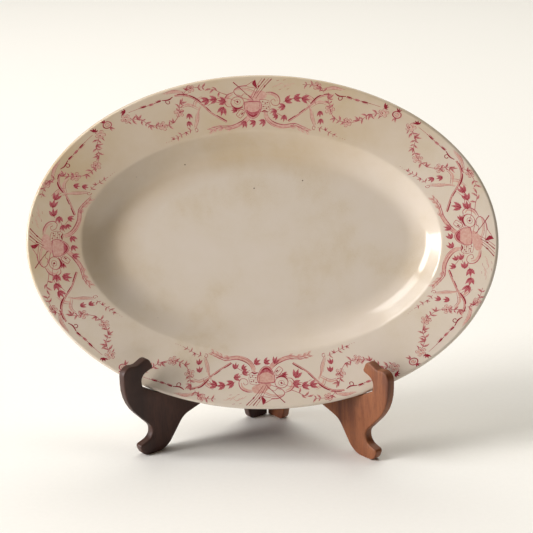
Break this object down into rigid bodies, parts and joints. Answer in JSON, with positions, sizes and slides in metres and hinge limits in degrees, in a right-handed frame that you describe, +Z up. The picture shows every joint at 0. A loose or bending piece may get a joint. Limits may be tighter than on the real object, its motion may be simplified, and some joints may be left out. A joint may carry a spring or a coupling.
{
  "type": "oval serving platter on a folding wooden stand",
  "caption": "Oval earthenware serving platter with a flat rim and a shallow well, leaning on a folding stand of two scroll-cut wooden sides joined by small brass hinges.",
  "frame": {"origin": "on the surface that the feet stand on, under the middle of the whole object's box", "axes": "+X to the viewer's right along the platter's length, +Y away from the viewer towards the hinges, +Z up"},
  "size_m": [0.355, 0.0994, 0.2762],
  "materials": {
    "glazed_earthenware": "glossy cream glaze, lightly stained, with a rose-red print under the glaze on the rim",
    "transfer_print": "rose-red printed ornament under the glaze",
    "stained_hardwood": "red-brown stain with a thin satin varnish",
    "brass": "aged, lightly tarnished",
    "screw_brass": "turned, slotted heads"
  },
  "bodies": {
    "pins": {"upper_pin": "brass", "lower_pin": "brass"},
    "left_half": {"left_side": "stained_hardwood", "upper_left_leaf": "brass", "lower_left_leaf": "brass", "upper_left_screw_1": "screw_brass", "upper_left_screw_2": "screw_brass", "lower_left_screw_1": "screw_brass", "lower_left_screw_2": "screw_brass"},
    "right_half": {"right_side": "stained_hardwood", "upper_right_leaf": "brass", "lower_right_leaf": "brass", "upper_right_screw_1": "screw_brass", "upper_right_screw_2": "screw_brass", "lower_right_screw_1": "screw_brass", "lower_right_screw_2": "screw_brass"},
    "platter": {"platter": "glazed_earthenware"}
  },
  "joints": [
    {"name": "platter_lift", "type": "slide", "parent": "pins", "child": "platter", "axis": [0, 0.2079, 0.9781], "range_m": [0, 0.3]},
    {"name": "left_fold", "type": "hinge", "parent": "pins", "child": "left_half", "pos_m": [0, 0.04444, 0], "axis": [0, 0, 1], "range_deg": [0, 46]},
    {"name": "right_fold", "type": "hinge", "parent": "pins", "child": "right_half", "pos_m": [0, 0.04444, 0], "axis": [0, 0, -1], "range_deg": [0, 46]}
  ],
  "couplings": [
    {"joint": "left_fold", "follows": "platter_lift", "rad_per_m": 2.6761},
    {"joint": "right_fold", "follows": "platter_lift", "rad_per_m": 2.6761}
  ]
}
